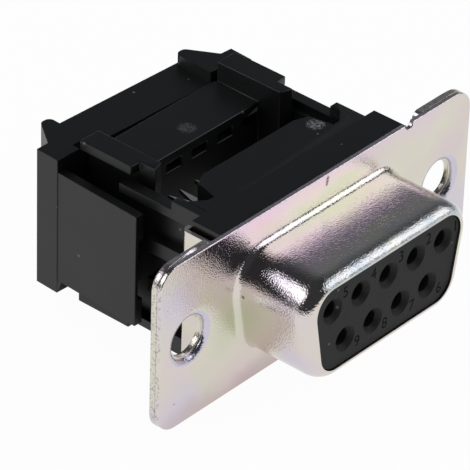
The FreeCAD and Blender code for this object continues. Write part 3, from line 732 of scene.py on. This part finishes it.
def rounded_copy(node, name, body, material, radius, segments=2, pocketed=False):
    """The CAD solid's own form with its edges rounded: flat faces made whole, then the outer edges
    bevelled where there is room. A pocketed piece keeps its flat faces as triangles, which go round the
    pockets' mouths, and has its inner edges rounded too."""
    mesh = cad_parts[node].data.copy()
    mesh.name = name
    work = bmesh.new()
    work.from_mesh(mesh)
    bmesh.ops.remove_doubles(work, verts=work.verts, dist=CAD_SEAM)
    if not pocketed:
        bmesh.ops.dissolve_limit(work, angle_limit=FLAT_ANGLE, verts=work.verts, edges=work.edges)
    sharp = [edge for edge in work.edges if edge.is_manifold and edge.calc_face_angle() > ROUNDED_ANGLE]
    sharp = [edge for edge in sharp if has_room(edge, radius) and (pocketed or edge.is_convex)]
    bmesh.ops.bevel(work, geom=sharp, offset=radius, offset_type="OFFSET", segments=segments,
                    profile=ROUND_PROFILE, affect="EDGES", clamp_overlap=not pocketed)
    work.to_mesh(mesh)
    work.free()
    piece = add_piece(name, mesh, body, material, ROUNDED_SHARP)
    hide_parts(node)


BRACKET_PLATING = make_plating("bracket_plating", patch_scale=260, roughness=0.22)
for side in ("left", "right"):
    rounded_copy(f"{side}_bracket", f"{side}_bracket_sheet", "connector", BRACKET_PLATING,
                 BRACKET_ROUND)


# Housing, cover and strain relief: moulded from black glass-filled plastic and pushed together from the
# rear. A satin surface with a fine moulding grain, a few pale specks of dust, and the rough round marks
# where the ejector pins pushed.
BLACK = (0.003, 0.0033, 0.0032)
SHADE_STOPS = ((0.3, 0.8), (0.7, 1.2))
PLASTIC_PATCH_SCALE = 300
PLASTIC_GRAIN_SCALE = 6000
PLASTIC_GRAIN_DEPTH = 0.01 * MM
PLASTIC_GRAIN_STRENGTH = 0.5
PLASTIC_SHINE = 0.45
GLOSS_DRIFT = 0.06
SPECK_SCALE = 420
SPECK_SIZE = 0.045
SPECK_COLOUR = (0.09, 0.09, 0.085)
PIN_RADIUS = 0.72 * MM
PIN_CORE = 0.7 * PIN_RADIUS
PIN_GRIT_SCALE = 9000
PIN_GRIT_DETAIL = 3
PIN_GRIT_START = 0.42
PIN_GRIT_FULL = 0.62
HOUSING_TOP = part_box("housing")[1].z
HOUSING_MARK = (5.07 * MM, 4.85 * MM, HOUSING_TOP)
HOUSING_MARK_TONE = 0.16
HOUSING_ROUND = 0.06 * MM
COVER_TOP = 4.8 * MM
COVER_MARK = (0.13 * MM, 11.75 * MM, COVER_TOP)
COVER_MARK_TONE = 0.06
COVER_ROUND = 0.1 * MM
RELIEF_ROUND = 0.1 * MM


def add_specks(tree, place):
    """Mask of sparse dots: where the surface passes close to the feature points of a Voronoi pattern."""
    dots = tree.nodes.new("ShaderNodeTexVoronoi")
    dots.inputs["Scale"].default_value = SPECK_SCALE
    wire(tree, place, dots.inputs["Vector"])
    return add_math(tree, "LESS_THAN", dots.outputs["Distance"], SPECK_SIZE)


def add_pin_mark(tree, place, centre):
    """Mask of a round pin mark with a soft edge, broken up into fine speckle."""
    away = add_vector_math(tree, "DISTANCE", place, centre)
    disc = add_fade(tree, away, PIN_RADIUS, PIN_CORE)
    noise = add_noise(tree, place, PIN_GRIT_SCALE, PIN_GRIT_DETAIL)
    grit = add_fade(tree, noise.outputs["Fac"], PIN_GRIT_START, PIN_GRIT_FULL)
    return add_math(tree, "MULTIPLY", disc, grit)


def make_plastic(name, colour, roughness, grain_depth=PLASTIC_GRAIN_DEPTH, shine=PLASTIC_SHINE,
                 pin_marks=()):
    """Satin plastic whose shade, roughness and height vary with the moulding grain, with specks and pin
    marks."""
    material, tree, output = new_material(name)
    plastic = tree.nodes.new("ShaderNodeBsdfPrincipled")
    plastic.inputs["Specular IOR Level"].default_value = shine
    place = tree.nodes.new("ShaderNodeTexCoord").outputs["Object"]
    mottle = add_mottle(tree, PLASTIC_PATCH_SCALE, PLASTIC_GRAIN_SCALE)
    stops = [(where, tuple(share * part for part in colour)) for where, share in SHADE_STOPS]
    shade = add_ramp(tree, mottle.outputs["Patch"], stops)
    paint = add_mix_colour(tree, add_specks(tree, place), shade, SPECK_COLOUR)
    for centre, tone in pin_marks:
        paint = add_mix_colour(tree, add_pin_mark(tree, place, centre), paint, (tone,) * 3)
    gloss = add_fade(tree, mottle.outputs["Patch"], 0.0, 1.0,
                     lowest=roughness - GLOSS_DRIFT, highest=roughness + GLOSS_DRIFT)
    grain = add_bump(tree, mottle.outputs["Speckle"], PLASTIC_GRAIN_STRENGTH, grain_depth)
    wire(tree, paint, plastic.inputs["Base Color"])
    wire(tree, gloss, plastic.inputs["Roughness"])
    wire(tree, grain.outputs["Normal"], plastic.inputs["Normal"])
    wire(tree, plastic.outputs[0], output.inputs["Surface"])
    return material


HOUSING_PLASTIC = make_plastic("housing_plastic", BLACK, roughness=0.38,
                               pin_marks=[(HOUSING_MARK, HOUSING_MARK_TONE)])
COVER_PLASTIC = make_plastic("cover_plastic", BLACK, roughness=0.38,
                             pin_marks=[(COVER_MARK, COVER_MARK_TONE)])
RELIEF_PLASTIC = make_plastic("relief_plastic", BLACK, roughness=0.42)
rounded_copy("housing", "housing_moulding", "connector", HOUSING_PLASTIC, HOUSING_ROUND)
rounded_copy("cover", "cover_moulding", "cover", COVER_PLASTIC, COVER_ROUND,
             segments=3, pocketed=True)
rounded_copy("strain_relief", "strain_relief_moulding", "strain_relief", RELIEF_PLASTIC,
             RELIEF_ROUND, segments=3)


# Contact insulator: moulded from charcoal plastic and held in the nose, its face just inside the mouth.
# Beside its nine lead-ins stand the contact numbers.
CHARCOAL = (0.006, 0.0065, 0.006)
NUMBER_BLACK = (0.0012, 0.0012, 0.0012)
INSULATOR_ROUND = 0.04 * MM
INSULATOR_GRAIN = 0.05 * MM
CONTACT_COUNT = 9
TOP_ROW_COUNT = 5
CONTACT_PITCH = 2.77 * MM
ROW_PITCH = 2.84 * MM
NUMBER_SIZE = 1.2 * MM
NUMBER_RIGHT = 1.25 * MM
NUMBER_OUTWARD = 0.85 * MM
NUMBER_OUTWARD_CROWDED = 0.5 * MM
NUMBER_THICKNESS = 0.02 * MM
NUMBER_SET_BACK = 0.3 * NUMBER_THICKNESS
NUMBER_CURVE_STEPS = 3
NUMBER_SHARP = math.radians(35)
FACE_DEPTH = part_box("contact_insulator")[0].y
INSULATOR_PLASTIC = make_plastic("insulator_plastic", CHARCOAL, roughness=0.62, grain_depth=INSULATOR_GRAIN,
                                 shine=0.32)
NUMBER_SHADE = make_plastic("number_shade", NUMBER_BLACK, roughness=0.8, shine=0.1)
rounded_copy("contact_insulator", "insulator_moulding", "connector", INSULATOR_PLASTIC,
             INSULATOR_ROUND)


def make_number(number, centre_x, centre_z):
    """The closed outline of a numeral as a very thin plate, upright in the insulator's face."""
    curve = bpy.data.curves.new(f"outline_{number}", "FONT")
    curve.body = str(number)
    curve.size = NUMBER_SIZE
    curve.extrude = NUMBER_THICKNESS / 2
    curve.align_x = "CENTER"
    curve.align_y = "CENTER"
    curve.resolution_u = NUMBER_CURVE_STEPS
    outline = bpy.data.objects.new(f"outline_{number}", curve)
    mesh = bpy.data.meshes.new_from_object(outline)
    stand = Matrix.Rotation(math.pi / 2, 4, "X")
    mesh.transform(Matrix.Translation((centre_x, FACE_DEPTH + NUMBER_SET_BACK, centre_z)) @ stand)
    bpy.data.objects.remove(outline)
    bpy.data.curves.remove(curve)
    return mesh


for number in range(1, CONTACT_COUNT + 1):
    in_top_row = number <= TOP_ROW_COUNT
    place_in_row = number - 1 if in_top_row else number - 1 - TOP_ROW_COUNT
    row_count = TOP_ROW_COUNT if in_top_row else CONTACT_COUNT - TOP_ROW_COUNT
    middle_x = ((row_count - 1) / 2 - place_in_row) * CONTACT_PITCH
    side = 1 if in_top_row else -1
    outward = NUMBER_OUTWARD if number > 1 else NUMBER_OUTWARD_CROWDED
    mesh = make_number(number, middle_x + NUMBER_RIGHT, side * (ROW_PITCH / 2 + outward))
    add_piece(f"number_{number}", mesh, "connector", NUMBER_SHADE, NUMBER_SHARP)


# Contacts: stamped from bronze strip, tin plated to a dull shine, and pushed into the insulator and
# the housing.
TIN = make_plating("tin_plating", patch_scale=900, roughness=0.25)
for number in range(1, CONTACT_COUNT + 1):
    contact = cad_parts[f"contact_{number}"]
    contact.data.materials.clear()
    contact.data.materials.append(TIN)
